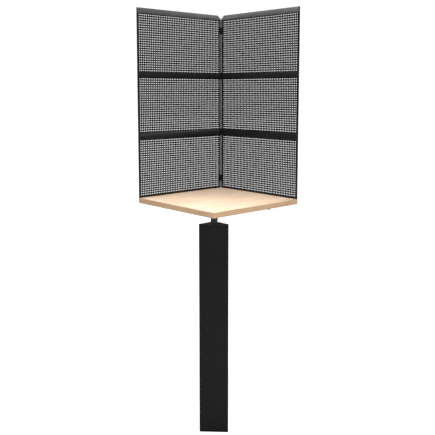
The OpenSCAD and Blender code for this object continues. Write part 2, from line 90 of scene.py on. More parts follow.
def wing_box(node, side):
    """Lowest and highest (u, n, z) of a CAD node on one wing, in metres."""
    x, y, z = vertex_array(frame["nodes"][node]).T
    along = (SIDES[side] * x + half_diagonal - y) / math.sqrt(2)
    inward = (-SIDES[side] * x + half_diagonal - y) / math.sqrt(2)
    points = np.stack([along, inward, z])
    return points.min(axis=1), points.max(axis=1)


def wing_point(u, n, z, side):
    """A point given in a wing's own directions, in the frame's."""
    return Vector((SIDES[side] * (u - n) / math.sqrt(2), half_diagonal - (u + n) / math.sqrt(2), z))


print("Shelf top", round(shelf_top, 3), "m; half diagonal", round(half_diagonal, 4), "m")

# %% [markdown]
# ## Helpers for materials
# A hex colour is what a paint chart gives. Blender's sockets want linear light, so one function
# turns it. Another adds a node with its settings and links, which keeps each material short.


# %% Colours and nodes
def linear(hex_colour):
    """An sRGB hex colour as linear RGBA."""
    channels = [int(hex_colour[i : i + 2], 16) / 255 for i in (1, 3, 5)]
    return (*[c / 12.92 if c <= 0.04045 else ((c + 0.055) / 1.055) ** 2.4 for c in channels], 1.0)


def add(tree, kind, settings=None, inputs=None):
    """Adds a node. A setting is a property; an input is a value, or the socket to link from."""
    node = tree.nodes.new(kind)
    for name, value in (settings or {}).items():
        setattr(node, name, value)
    for name, value in (inputs or {}).items():
        if isinstance(value, bpy.types.NodeSocket):
            tree.links.new(value, node.inputs[name])
        else:
            node.inputs[name].default_value = value
    return node


def new_material(name, settings):
    """A material with one Principled shader. Returns it with its tree and shader."""
    material = bpy.data.materials.new(name)
    material.use_nodes = True
    tree = material.node_tree
    shader = tree.nodes["Principled BSDF"]
    for socket, value in settings.items():
        shader.inputs[socket].default_value = value
    return material, tree, shader


def ramp(tree, factor, stops):
    """A colour ramp from (position, colour) pairs."""
    node = add(tree, "ShaderNodeValToRGB", inputs={"Fac": factor})
    elements = node.color_ramp.elements
    while len(elements) < len(stops):
        elements.new(0.5)
    for element, (position, colour) in zip(elements, stops):
        element.position = position
        element.color = colour
    return node.outputs["Color"]


def grey(value):
    return (value, value, value, 1.0)


# %% [markdown]
# ## Powder-coated steel
# Most of the stand is folded steel with a black powder coat: dry polyester powder sprayed on
# and baked, so it flows into a satin skin with a faint orange peel. The eye reads it by its soft
# highlight, which the peel breaks up, so the peel is a bump of about a millimetre. Real peel is
# finer than shows from across a shop, so it is drawn a little coarse. A second, larger noise
# varies the roughness, as handling does.

# %% Powder coat
PEEL = 1.4 * MM
HANDLING = 90 * MM


def powder_coat(name, hex_colour, roughness, specular):
    material, tree, shader = new_material(
        name, {"IOR": 1.5, "Specular IOR Level": specular, "Coat Weight": 0.0}
    )
    place = add(tree, "ShaderNodeTexCoord").outputs["Object"]
    peel = add(
        tree, "ShaderNodeTexNoise", inputs={"Vector": place, "Scale": 1 / PEEL, "Detail": 2.0, "Roughness": 0.5}
    )
    cloud = add(tree, "ShaderNodeTexNoise", inputs={"Vector": place, "Scale": 1 / HANDLING, "Detail": 3.0})
    base = linear(hex_colour)
    worn = [min(1.0, c * 1.18 + 0.001) for c in base[:3]] + [1.0]
    tree.links.new(
        ramp(tree, cloud.outputs["Fac"], [(0.35, base), (0.75, worn)]), shader.inputs["Base Color"]
    )
    tree.links.new(
        ramp(
            tree,
            cloud.outputs["Fac"],
            [(0.3, grey(roughness - 0.03)), (0.7, grey(roughness + 0.04))],
        ),
        shader.inputs["Roughness"],
    )
    bump = add(
        tree,
        "ShaderNodeBump",
        inputs={"Height": peel.outputs["Fac"], "Distance": 0.03 * MM, "Strength": 0.6},
    )
    tree.links.new(bump.outputs["Normal"], shader.inputs["Normal"])
    return material


frame_black = powder_coat("powder_coat_black", "#17181a", 0.46, 0.35)
panel_black = powder_coat("powder_coat_black_sheet", "#161719", 0.5, 0.3)
column_black = powder_coat("powder_coat_black_column", "#0b0b0c", 0.38, 0.27)
# The top rails' coat is the black powder coat painted a lighter grey with stronger specular: a painted highlight for
# the light their leaning faces catch.
top_rail_painted_highlight = powder_coat("powder_coat_black_top_rail_painted_highlight", "#4a4a4c", 0.5, 0.5)
print("Powder coats:", [m.name for m in (frame_black, panel_black, column_black, top_rail_painted_highlight)])

# %% [markdown]
# ## Plated, bare and moulded parts
# Screws are zinc-plated or black-oxide steel. Zinc is bright and slightly mottled where the
# crystals formed. The mast, the ballast and the glide plates are mill steel with an oily, streaked
# skin. Glide pads and plugs are moulded polyamide: dull, with a fine spark-eroded texture.


# %% Metals and plastic
def metal(name, dark_hex, light_hex, roughness, scale, stretch):
    """Bare or plated metal with mottling. stretch draws the pattern out along Z."""
    material, tree, shader = new_material(name, {"Metallic": 1.0})
    place = add(tree, "ShaderNodeTexCoord").outputs["Object"]
    drawn = add(
        tree, "ShaderNodeMapping", inputs={"Vector": place, "Scale": (1.0, 1.0, 1.0 / stretch)}
    ).outputs["Vector"]
    mottle = add(tree, "ShaderNodeTexNoise", inputs={"Vector": drawn, "Scale": 1 / scale, "Detail": 4.0})
    factor = mottle.outputs["Fac"]
    colour = ramp(tree, factor, [(0.3, linear(dark_hex)), (0.7, linear(light_hex))])
    rough = ramp(tree, factor, [(0.3, grey(roughness + 0.08)), (0.7, grey(roughness - 0.05))])
    tree.links.new(colour, shader.inputs["Base Color"])
    tree.links.new(rough, shader.inputs["Roughness"])
    bump = add(tree, "ShaderNodeBump", inputs={"Height": factor, "Distance": 0.02 * MM, "Strength": 0.5})
    tree.links.new(bump.outputs["Normal"], shader.inputs["Normal"])
    return material


def moulded_plastic(name, hex_colour):
    material, tree, shader = new_material(name, {"IOR": 1.53, "Specular IOR Level": 0.4})
    place = add(tree, "ShaderNodeTexCoord").outputs["Object"]
    grain = add(tree, "ShaderNodeTexNoise", inputs={"Vector": place, "Scale": 1 / (0.8 * MM), "Detail": 2.0})
    factor = grain.outputs["Fac"]
    tree.links.new(ramp(tree, factor, [(0.3, grey(0.5)), (0.7, grey(0.62))]), shader.inputs["Roughness"])
    base = linear(hex_colour)
    lighter = [c * 1.3 for c in base[:3]] + [1.0]
    tree.links.new(ramp(tree, factor, [(0.3, base), (0.7, lighter)]), shader.inputs["Base Color"])
    bump = add(tree, "ShaderNodeBump", inputs={"Height": factor, "Distance": 0.04 * MM, "Strength": 0.5})
    tree.links.new(bump.outputs["Normal"], shader.inputs["Normal"])
    return material


zinc_plate = metal("zinc_plated_steel", "#9fa3a8", "#d5d8db", 0.34, 2.5 * MM, 1.0)
mill_steel = metal("oiled_mill_steel", "#55575b", "#7d8085", 0.42, 9 * MM, 6.0)
black_oxide = metal("black_oxide_steel", "#1b1c1e", "#2c2d30", 0.4, 1.5 * MM, 1.0)
black_nylon = moulded_plastic("moulded_black_nylon", "#121314")
print("Metals:", [m.name for m in (zinc_plate, mill_steel, black_oxide)], "plastic:", black_nylon.name)

# %% [markdown]
# ## Maple
# The shelf is a board faced with pale maple veneer and banded in maple. Maple is cream with a
# faint pink cast. Its growth rings show as long, soft streaks along the grain, 8 to 25 mm apart, with fine
# pores between them and a few short flecks across. The streaks come from noise stretched along
# the grain, because a Wave texture would repeat too evenly. The grain runs along the left wing,
# so a Mapping node turns the pattern by 45 degrees. Bands are the same wood seen on edge: darker.

# %% Maple veneer and banding
STREAK = 16 * MM
PORE = 1.1 * MM


def maple(name, tones, grain_turn, roughness):
    """tones are the dark, middle and light hex colours; grain_turn is the grain's angle in plan."""
    material, tree, shader = new_material(name, {"IOR": 1.5, "Specular IOR Level": 0.35})
    place = add(tree, "ShaderNodeTexCoord").outputs["Object"]
    turned = add(
        tree, "ShaderNodeMapping", inputs={"Vector": place, "Rotation": (0.0, 0.0, -grain_turn)}
    ).outputs["Vector"]
    along = add(
        tree, "ShaderNodeMapping", inputs={"Vector": turned, "Scale": (0.07, 1.0, 1.0)}
    ).outputs["Vector"]
    sway = add(tree, "ShaderNodeTexNoise", inputs={"Vector": turned, "Scale": 4.0, "Detail": 1.0})
    bent = add(
        tree,
        "ShaderNodeVectorMath",
        {"operation": "MULTIPLY_ADD"},
        {0: sway.outputs["Color"], 1: (0.0, 0.05, 0.0), 2: along},
    ).outputs["Vector"]
    streak = add(tree, "ShaderNodeTexNoise", inputs={"Vector": bent, "Scale": 1 / STREAK, "Detail": 3.0})
    cloud = add(tree, "ShaderNodeTexNoise", inputs={"Vector": turned, "Scale": 5.0, "Detail": 2.0})
    mixed = add(
        tree,
        "ShaderNodeMix",
        {"data_type": "FLOAT"},
        {0: 0.35, 2: streak.outputs["Fac"], 3: cloud.outputs["Fac"]},
    ).outputs[0]
    dark, middle, light = [linear(t) for t in tones]
    wood = ramp(tree, mixed, [(0.32, dark), (0.5, middle), (0.68, light)])
    fine = add(
        tree, "ShaderNodeMapping", inputs={"Vector": turned, "Scale": (0.03, 1.0, 1.0)}
    ).outputs["Vector"]
    pores = add(tree, "ShaderNodeTexNoise", inputs={"Vector": fine, "Scale": 1 / PORE, "Detail": 2.0})
    pore_mask = ramp(tree, pores.outputs["Fac"], [(0.3, grey(0.86)), (0.5, grey(1.0))])
    coloured = add(
        tree,
        "ShaderNodeMix",
        {"data_type": "RGBA", "blend_type": "MULTIPLY"},
        {0: 0.7, 6: wood, 7: pore_mask},
    ).outputs[2]
    tree.links.new(coloured, shader.inputs["Base Color"])
    tree.links.new(
        ramp(tree, mixed, [(0.3, grey(roughness + 0.06)), (0.7, grey(roughness - 0.04))]),
        shader.inputs["Roughness"],
    )
    bump = add(
        tree,
        "ShaderNodeBump",
        inputs={"Height": pores.outputs["Fac"], "Distance": 0.05 * MM, "Strength": 0.35},
    )
    tree.links.new(bump.outputs["Normal"], shader.inputs["Normal"])
    return material


LEFT_WING_TURN = math.radians(45)
maple_face = maple("maple_veneer_lacquered", ("#d8b898", "#e2c6aa", "#e9d2ba"), LEFT_WING_TURN, 0.42)
maple_bands = {
    "left": maple("maple_band_left", ("#dcb48a", "#eac49b", "#f3d1ad"), LEFT_WING_TURN, 0.48),
    "right": maple("maple_band_right", ("#d3aa82", "#e1b993", "#ecc7a4"), -LEFT_WING_TURN, 0.48),
}
print("Maple:", maple_face.name, [m.name for m in maple_bands.values()])

# %% [markdown]
# ## Turning a node's shape into a finished piece
# CAD solids have knife edges, and real steel and wood do not: powder coat and sanding leave a
# small radius that catches the light. `eased` copies a node, welds its loose triangles, joins flat
# faces again, and bevels what is sharper than 30 degrees. The copy replaces the node on its body.


# %% Finishing helpers
def finish_piece(obj, body, slot_name, *nodes):
    """Puts a piece on its body and hides the CAD nodes that it stands for. slot_name is not used."""
    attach(obj, body)
    if nodes:
        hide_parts(*nodes)
    return obj


def link_mesh(name, mesh, material=None):
    obj = bpy.data.objects.new(name, mesh)
    bpy.context.scene.collection.objects.link(obj)
    if material is not None:
        mesh.materials.clear()
        mesh.materials.append(material)
    return obj


def plain_mesh(obj):
    """Applies an object's modifiers through the evaluated object."""
    evaluated = obj.evaluated_get(bpy.context.evaluated_depsgraph_get())
    mesh = bpy.data.meshes.new_from_object(evaluated)
    old = obj.data
    obj.modifiers.clear()
    obj.data = mesh
    bpy.data.meshes.remove(old)
    return obj


def welded(source):
    """A bmesh of a CAD node with its triangles joined into flat faces."""
    mesh = bmesh.new()
    mesh.from_mesh(source.data)
    bmesh.ops.remove_doubles(mesh, verts=mesh.verts, dist=0.01 * MM)
    bmesh.ops.dissolve_limit(
        mesh, angle_limit=math.radians(1.0), verts=mesh.verts, edges=mesh.edges, delimit=set()
    )
    return mesh


def weigh_edges(work, radius):
    """Gives long outward corners a bevel weight, and keeps the other corners crisp."""
    weight = work.edges.layers.float.new("bevel_weight_edge")
    for edge in work.edges:
        corner = edge.is_manifold and edge.calc_face_angle(0.0) > math.radians(30)
        to_ease = corner and edge.is_convex and edge.calc_length() > 4 * radius
        edge[weight] = float(to_ease)
        edge.smooth = to_ease or not corner


def eased(node, material, radius, segments=2, work=None):
    """Replaces a CAD node by a copy, or by a mesh worked from it, with eased edges."""
    work = work or welded(frame["nodes"][node])
    weigh_edges(work, radius)
    mesh = bpy.data.meshes.new(node + "_eased")
    work.to_mesh(mesh)
    work.free()
    obj = link_mesh(node + "_finished", mesh, material)
    for face in mesh.polygons:
        face.use_smooth = True
    bevel = obj.modifiers.new("ease", "BEVEL")
    bevel.width = radius
    bevel.segments = segments
    bevel.limit_method = "WEIGHT"
    bevel.use_clamp_overlap = False
    bevel.harden_normals = True
    plain_mesh(obj)
    return finish_piece(obj, frame["nodes"][node]["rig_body"], SLOT_OF[node], node)


SLOT_OF = {s["node"]: s["material_slot"] for s in frame["record"]["subparts"]}
print(len(SLOT_OF), "nodes have a finish slot")

# %% [markdown]
# ## Perforated panels
# A panel is 1.2 mm steel, punched with round holes on a 12.7 mm square grid. The punch leaves a
# small rolled rim on the side it enters. Cutting a thousand holes with booleans is slow and
# fragile. A panel is one small square cell, repeated, inside a plain border, so Geometry Nodes
# lay the cell on a grid, join it to the border and merge what meets. Every cell has corners only
# where its neighbours have them, so the merged sheet is closed.

# %% The peg cell
PITCH = 12.7 * MM
HOLE = 6.35 * MM
RIM = 0.25 * MM
HOLE_SIDES = 16


def circle_points(radius, height, sides=HOLE_SIDES):
    turn = 2 * math.pi / sides
    return [(radius * math.cos(k * turn), radius * math.sin(k * turn), height) for k in range(sides)]


def peg_cell(thickness):
    """One square of sheet round one hole, front upwards."""
    work = bmesh.new()
    half = PITCH / 2
    quarter = HOLE_SIDES // 4
    corner_signs = [(1, 1), (-1, 1), (-1, -1), (1, -1)]
    front_corners = [work.verts.new((a * half, b * half, thickness)) for a, b in corner_signs]
    back_corners = [work.verts.new((a * half, b * half, 0.0)) for a, b in corner_signs]
    rim = [work.verts.new(p) for p in circle_points(HOLE / 2 + RIM, thickness)]
    wall = [work.verts.new(p) for p in circle_points(HOLE / 2, thickness - RIM)]
    back = [work.verts.new(p) for p in circle_points(HOLE / 2, 0.0)]
    for k in range(HOLE_SIDES):
        after = (k + 1) % HOLE_SIDES
        work.faces.new((rim[k], front_corners[k // quarter], rim[after]))
        work.faces.new((back[after], back_corners[k // quarter], back[k]))
        work.faces.new((rim[k], rim[after], wall[after], wall[k]))
        work.faces.new((wall[k], wall[after], back[after], back[k]))
    for k in range(4):
        after = (k + 1) % 4
        between = after * quarter
        work.faces.new((front_corners[k], front_corners[after], rim[between]))
        work.faces.new((back_corners[after], back_corners[k], back[between]))
    mesh = bpy.data.meshes.new("peg_cell")
    work.to_mesh(mesh)
    work.free()
    return mesh


# %% [markdown]
# The border is a ring of plain squares on the same grid lines. Its walls close the sheet's edge.


# %% The panel's border
def sheet_border(us, zs, thickness):
    """A sheet on the grid lines us and zs, open where the inner block of cells goes."""
    work = bmesh.new()
    front = [[work.verts.new((u, z, thickness)) for z in zs] for u in us]
    back = [[work.verts.new((u, z, 0.0)) for z in zs] for u in us]
    last_u, last_z = len(us) - 1, len(zs) - 1
    for i in range(last_u):
        for j in range(last_z):
            if i in (0, last_u - 1) or j in (0, last_z - 1):
                work.faces.new((front[i][j], front[i + 1][j], front[i + 1][j + 1], front[i][j + 1]))
                work.faces.new((back[i][j + 1], back[i + 1][j + 1], back[i + 1][j], back[i][j]))
    for i in range(last_u):
        work.faces.new((front[i][0], back[i][0], back[i + 1][0], front[i + 1][0]))
        work.faces.new((front[i + 1][last_z], back[i + 1][last_z], back[i][last_z], front[i][last_z]))
    for j in range(last_z):
        work.faces.new((front[0][j + 1], back[0][j + 1], back[0][j], front[0][j]))
        work.faces.new((front[last_u][j], back[last_u][j], back[last_u][j + 1], front[last_u][j + 1]))
    loose = [v for v in work.verts if not v.link_faces]
    bmesh.ops.delete(work, geom=loose, context="VERTS")
    mesh = bpy.data.meshes.new("sheet_border")
    work.to_mesh(mesh)
    work.free()
    return mesh


# %% [markdown]
# A Geometry Nodes tree is built once and used by every panel. Its sizes are named inputs, so the
# same tree could punch another sheet.


# %% The punching tree
def new_tree(name, sockets):
    """A Geometry Nodes tree with a geometry input and output and the named inputs."""
    tree = bpy.data.node_groups.new(name, "GeometryNodeTree")
    tree.interface.new_socket("Geometry", in_out="INPUT", socket_type="NodeSocketGeometry")
    for socket, kind in sockets.items():
        tree.interface.new_socket(socket, in_out="INPUT", socket_type=kind)
    tree.interface.new_socket("Geometry", in_out="OUTPUT", socket_type="NodeSocketGeometry")
    return tree, tree.nodes.new("NodeGroupInput").outputs


def run_tree(obj, tree, values):
    """Runs a tree on an object with its named inputs, and leaves a plain mesh."""
    modifier = obj.modifiers.new(tree.name, "NODES")
    modifier.node_group = tree
    for item in tree.interface.items_tree:
        if item.in_out == "INPUT" and item.name in values:
            modifier[item.identifier] = values[item.name]
    return plain_mesh(obj)


punch_tree, given = new_tree(
    "punch_sheet",
    {
        "Columns": "NodeSocketInt",
        "Rows": "NodeSocketInt",
        "Pitch": "NodeSocketFloat",
        "Centre": "NodeSocketVector",
        "Cell": "NodeSocketObject",
        "Finish": "NodeSocketMaterial",
    },
)
spans = {}
for count in ("Columns", "Rows"):
    gaps = add(punch_tree, "ShaderNodeMath", {"operation": "SUBTRACT"}, {0: given[count], 1: 1.0})
    spans[count] = add(
        punch_tree, "ShaderNodeMath", {"operation": "MULTIPLY"}, {0: gaps.outputs[0], 1: given["Pitch"]}
    ).outputs[0]
grid = add(
    punch_tree,
    "GeometryNodeMeshGrid",
    inputs={
        "Size X": spans["Columns"],
        "Size Y": spans["Rows"],
        "Vertices X": given["Columns"],
        "Vertices Y": given["Rows"],
    },
)
placed = add(
    punch_tree,
    "GeometryNodeTransform",
    inputs={"Geometry": grid.outputs["Mesh"], "Translation": given["Centre"]},
)
cell = add(punch_tree, "GeometryNodeObjectInfo", inputs={"Object": given["Cell"]})
punched = add(
    punch_tree,
    "GeometryNodeInstanceOnPoints",
    inputs={"Points": placed.outputs["Geometry"], "Instance": cell.outputs["Geometry"]},
)
solid_cells = add(
    punch_tree, "GeometryNodeRealizeInstances", inputs={"Geometry": punched.outputs["Instances"]}
)
joined = add(punch_tree, "GeometryNodeJoinGeometry")
punch_tree.links.new(solid_cells.outputs["Geometry"], joined.inputs["Geometry"])
punch_tree.links.new(given["Geometry"], joined.inputs["Geometry"])
merged = add(
    punch_tree,
    "GeometryNodeMergeByDistance",
    inputs={"Geometry": joined.outputs["Geometry"], "Distance": 0.02 * MM},
)
coated = add(
    punch_tree,
    "GeometryNodeSetMaterial",
    inputs={"Geometry": merged.outputs["Geometry"], "Material": given["Finish"]},
)
out = add(punch_tree, "NodeGroupOutput", inputs={"Geometry": coated.outputs["Geometry"]})
print("Punching tree:", len(punch_tree.nodes), "nodes")


# %% [markdown]
# A sheet is drawn flat, with u to the right, z up and its front towards the reader. Then its mesh is turned
# into its wing. The left wing is the mirror of the right one, so its faces are turned
# back to point outwards.


# %% Build the six panels
def into_wing(mesh, side, back_n):
    """Moves a mesh drawn in (u, z, n) into its wing."""
    sign = SIDES[side]
    root = 1 / math.sqrt(2)
    start = wing_point(0.0, back_n, 0.0, side)
    matrix = Matrix(
        (
            (sign * root, 0.0, -sign * root, start.x),
            (-root, 0.0, -root, start.y),
            (0.0, 1.0, 0.0, start.z),
            (0.0, 0.0, 0.0, 1.0),
        )
    )
    mesh.transform(matrix)
    if matrix.determinant() < 0:
        mesh.flip_normals()


def grid_lines(low, high, window_low, window_high):
    """Grid lines of a sheet from low to high whose holes are centred in its window."""
    web = PITCH - HOLE
    edge = 2 * MM
    count = math.floor((window_high - window_low - 2 * edge + web) / PITCH)
    first = (window_low + window_high - count * PITCH) / 2
    return [low] + [first + k * PITCH for k in range(count + 1)] + [high]


LEVELS = {
    "lower": ("bottom_rail_{}", "lower_rail_{}"),
    "middle": ("lower_rail_{}", "upper_rail_{}"),
    "upper": ("upper_rail_{}", "top_rail_{}"),
}
BOTTOM_MARGIN = 3 * MM


def punched_panel(level, side, cell_object, thickness):
    node = f"peg_panel_{level}_{side}"
    low, high = wing_box(node, side)
    below, above = [wing_box(name.format(side), side) for name in LEVELS[level]]
    window_low = below[1][2] + (BOTTOM_MARGIN if level == "lower" else 0.0)
    inner_post, outer_post = [wing_box(f"{place}_post_{side}", side) for place in ("inner", "outer")]
    us = grid_lines(low[0], high[0], inner_post[1][0], outer_post[0][0])
    zs = grid_lines(low[2], high[2], window_low, above[0][2])
    panel = link_mesh(f"{node}_punched", sheet_border(us, zs, thickness))
    columns, rows = len(us) - 3, len(zs) - 3
    run_tree(
        panel,
        punch_tree,
        {
            "Columns": columns,
            "Rows": rows,
            "Pitch": PITCH,
            "Centre": ((us[1] + us[-2]) / 2, (zs[1] + zs[-2]) / 2, 0.0),
            "Cell": cell_object,
            "Finish": panel_black,
        },
    )
    into_wing(panel.data, side, low[1])
    for face in panel.data.polygons:
        face.use_smooth = True
    panel.data.set_sharp_from_angle(angle=math.radians(30))
    print(node, columns, "x", rows, "holes,", len(panel.data.polygons), "faces")
    return finish_piece(panel, "stand", SLOT_OF[node], node)


sheet_low, sheet_high = wing_box("peg_panel_lower_left", "left")
sheet_thickness = float(sheet_high[1] - sheet_low[1])
cell_object = link_mesh("peg_cell", peg_cell(sheet_thickness))
for wing in SIDES:
    for level in LEVELS:
        punched_panel(level, wing, cell_object, sheet_thickness)
bpy.data.objects.remove(cell_object)

# %% [markdown]
# ## The welded frame of each wing
# Posts are small rectangular tubes with rounded corners; rails are folded sheet with a tighter
# bend. Their CAD shapes are right, so they only need eased edges and their coat. The top rails
# lean back and show the eye more light than the upright faces do; their black coat, and that of
# their end plates, is also painted a lighter grey as a painted highlight for that light.

# %% Posts and rails
POST_EASE = 0.8 * MM
RAIL_EASE = 0.7 * MM
for wing in SIDES:
    for post in ("outer_post", "inner_post", "bottom_rail"):
        eased(f"{post}_{wing}", frame_black, POST_EASE)
    for rail in ("lower_rail", "upper_rail"):
        eased(f"{rail}_{wing}", frame_black, RAIL_EASE)
    eased(f"top_rail_{wing}", top_rail_painted_highlight, RAIL_EASE)
eased("top_rail_end_plates", top_rail_painted_highlight, 0.3 * MM)
eased("rail_end_plates", frame_black, 0.3 * MM)
eased("corner_clips", frame_black, 0.4 * MM)

# %% [markdown]
# ## The shelf
# The board's faces meet its banding in a fine joint, and every long edge is broken with
# sandpaper. The board keeps the face grain; each band is long-grain wood that runs round
# the shelf, so the bands on the two wing directions take their own grain turn.


# %% Board and banding
def band_pieces(node):
    """Splits the banding into its strips by direction and finishes each group."""
    work = welded(frame["nodes"][node])
    bmesh.ops.bevel(
        work,
        geom=[e for e in work.edges if e.calc_face_angle(0.0) > math.radians(30)],
        offset=0.6 * MM,
        segments=2,
        affect="EDGES",
    )
    mesh = bpy.data.meshes.new("shelf_banding")
    work.to_mesh(mesh)
    work.free()
    banding = link_mesh("shelf_banding", mesh, maple_bands["left"])
    mesh.materials.append(maple_bands["right"])
    for face in mesh.polygons:
        x, y = face.center.x, face.center.y
        face.material_index = int(x * y > 0)
    return finish_piece(banding, "stand", SLOT_OF[node], node)


eased("shelf_board", maple_face, 0.5 * MM)
band_pieces("shelf_edge_bands")

# %% [markdown]
# ## The column
# The column is two folded sheets. The front is flat and 156 mm wide, with a short return on each
# side; the rear angle closes it and is riveted inside the returns. A press brake leaves a bend
# whose outside radius is a little more than the sheet's thickness. A bevel can't make that on a
# thin solid, because the free edges are in the way, so the section is drawn again: straight
# runs, arcs at the bends, and the same path moved inwards by the sheet's thickness.


# %% A folded sheet
def bent_path(corners, radius, steps=6):
    """Points and outward normals along a plan path with its inner corners rounded."""
    corners = [Vector(c) for c in corners]
    runs = [(b - a).normalized() for a, b in zip(corners, corners[1:])]
    normals = [Vector((run.y, -run.x)) for run in runs]
    path = [(corners[0], normals[0])]
    for corner, before, after in zip(corners[1:-1], normals, normals[1:]):
        turn = before.angle_signed(after)
        reach = radius * math.tan(abs(turn) / 2)
        start = corner - runs[normals.index(before)] * reach
        centre = start - before * radius
        for k in range(steps + 1):
            normal = Matrix.Rotation(-turn * k / steps, 2) @ before
            path.append((centre + normal * radius, normal))
    path.append((corners[-1], normals[-1]))
    return path


def folded_sheet(node, corners, radius, thickness, material):
    """Replaces a CAD node by its sheet, bent along corners, over the node's own height."""
    low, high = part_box(node)
    path = bent_path(corners, radius)
    outline = [p for p, _ in path] + [p - n * thickness for p, n in reversed(path)]
    work = bmesh.new()
    rings = [[work.verts.new((p.x, p.y, z)) for p in outline] for z in (low.z, high.z)]
    count = len(outline)
    for k in range(count):
        after = (k + 1) % count
        work.faces.new((rings[0][k], rings[0][after], rings[1][after], rings[1][k]))
    last = count - 1
    for k in range(len(path) - 1):
        work.faces.new((rings[1][k], rings[1][k + 1], rings[1][last - k - 1], rings[1][last - k]))
        work.faces.new((rings[0][k + 1], rings[0][k], rings[0][last - k], rings[0][last - k - 1]))
    bmesh.ops.recalc_face_normals(work, faces=work.faces)
    weigh_edges(work, 0.5 * MM)
    mesh = bpy.data.meshes.new(node + "_folded")
    work.to_mesh(mesh)
    work.free()
    for face in mesh.polygons:
        face.use_smooth = True
    sheet = link_mesh(node + "_finished", mesh, material)
    ease = sheet.modifiers.new("deburr", "BEVEL")
    ease.width = 0.5 * MM
    ease.segments = 2
    ease.limit_method = "WEIGHT"
    ease.use_clamp_overlap = False
    ease.harden_normals = True
    plain_mesh(sheet)
    print(node, "bent with an outside radius of", round(radius / MM, 1), "mm")
    return finish_piece(sheet, "stand", SLOT_OF[node], node)


# %% [markdown]
# The front's bends are acute, so they read as crisp dark lines; the rear angle's bend is a right
# angle. Both take their corners from the CAD boxes.

# %% Column front and rear angle
SHEET = 2.0 * MM
FRONT_BEND = 2.4 * MM
REAR_BEND = 3.5 * MM
front_low, front_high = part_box("column_front")
return_depth = front_high.y - front_low.y
front_corners = [
    (front_low.x + return_depth, front_high.y),
    (front_low.x, front_low.y),
    (front_high.x, front_low.y),
    (front_high.x - return_depth, front_high.y),
]
folded_sheet("column_front", front_corners, FRONT_BEND, SHEET, column_black)
rear_low, rear_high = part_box("column_rear")
rear_corners = [(rear_high.x, rear_low.y), (0.0, rear_high.y), (rear_low.x, rear_low.y)]
folded_sheet("column_rear", rear_corners, REAR_BEND, SHEET, column_black)

# %% [markdown]
# The cap is cut to the same outline, so its corners are rounded like the bends below them.


# %% Column cap
def rounded_corner(work, x, y, turn, radius):
    """Rounds the upright edge at (x, y), where the outline turns by an angle in degrees."""
    at_corner = [v for v in work.verts if math.dist(v.co[:2], (x, y)) < 0.1 * MM]
    upright = [e for e in work.edges if all(v in at_corner for v in e.verts)]
    reach = radius * math.tan(math.radians(turn) / 2)
    bmesh.ops.bevel(work, geom=upright, offset=reach, segments=6, profile=0.5, affect="EDGES")


cap = welded(frame["nodes"]["column_cap"])
cap_low, cap_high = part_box("column_cap")
rounded_corner(cap, cap_low.x, cap_low.y, 135, FRONT_BEND)
rounded_corner(cap, cap_high.x, cap_low.y, 135, FRONT_BEND)
rounded_corner(cap, 0.0, cap_high.y, 90, REAR_BEND)
eased("column_cap", column_black, 0.6 * MM, work=cap)

# %% [markdown]
# ## Carrier and foot
# The tubes under the shelf and the foot channel are coated like the column. The mast, the plates
# and the ballast are hidden by the covers and stay bare.

# %% Carrier and foot
for node in ("spine_tube", "cross_arm_left", "cross_arm_right", "foot_channel"):
    eased(node, frame_black, 0.8 * MM, segments=3)
for node in ("fixing_tabs", "foot_end_plates"):
    eased(node, frame_black, 0.5 * MM)
for node in ("mast_tube", "mast_head_plate", "foot_plate", "ballast_bar", "glide_plates"):
    eased(node, mill_steel, 0.5 * MM)
eased("tube_end_plugs", black_nylon, 0.5 * MM)

# %% [markdown]
# ## Fasteners
# A screw is a turned part, so it is drawn as rings on an axis. A ring can also follow a hexagon,
# which gives a hex socket, a bolt head or a nut with the same short function. One mould is made
# for each kind, and a Geometry Nodes tree puts it at each place that the CAD node has, facing
# outwards, each turned by its own amount about its axis, as screws end up.


# %% Turned moulds
SCREW_SIDES = 18


def ring_radius(radius, angle, hexagonal):
    """Radius of a circle, or of a hexagon with that inner radius, at an angle."""
    if not hexagonal:
        return radius
    return radius / math.cos((angle + math.pi / 6) % (math.pi / 3) - math.pi / 6)


def turned(name, rings, sides=SCREW_SIDES, hollow=False):
    """A closed mesh from rings of (radius, height, hexagonal), from the tip upwards."""
    work = bmesh.new()
    loops = []
    for radius, height, hexagonal in rings:
        angles = [2 * math.pi * k / sides for k in range(sides)]
        reach = [ring_radius(radius, a, hexagonal) for a in angles]
        loops.append(
            [work.verts.new((r * math.cos(a), r * math.sin(a), height)) for r, a in zip(reach, angles)]
        )
    pairs = list(zip(loops, loops[1:]))
    if hollow:
        pairs.append((loops[-1], loops[0]))
    else:
        work.faces.new(list(reversed(loops[0])))
        work.faces.new(loops[-1])
    for lower, upper in pairs:
        for k in range(sides):
            after = (k + 1) % sides
            work.faces.new((lower[k], lower[after], upper[after], upper[k]))
    mesh = bpy.data.meshes.new(name)
    work.to_mesh(mesh)
    work.free()
    for face in mesh.polygons:
        face.use_smooth = True
    mesh.set_sharp_from_angle(angle=math.radians(35))
    return mesh


def button_screw(shank, head, height, length, key):
    """A button-head screw. Its seat is at height 0, its head above, its hex socket is key wide."""
    s, h, k = shank / 2, head / 2, key / 2
    return [
        (s * 0.7, -length, False),
        (s, -length + 0.4 * shank, False),
        (s, 0.0, False),
        (h * 0.96, 0.0, False),
        (h, height * 0.15, False),
        (h * 0.9, height * 0.6, False),
        (h * 0.68, height * 0.92, False),
        (h * 0.55, height, False),
        (k, height, True),
        (k * 0.97, height * 0.35, True),
    ]


def hex_bolt(shank, flats, height, length):
    s, a = shank / 2, flats / 2
    return [
        (s * 0.8, -length, False),
        (s, -length + 0.15 * shank, False),
        (s, 0.0, False),
        (a * 0.93, 0.0, False),
        (a, height * 0.08, True),
        (a, height * 0.82, True),
        (a * 0.94, height, False),
        (a * 0.6, height, False),
        (a * 0.5, height * 0.93, False),
    ]


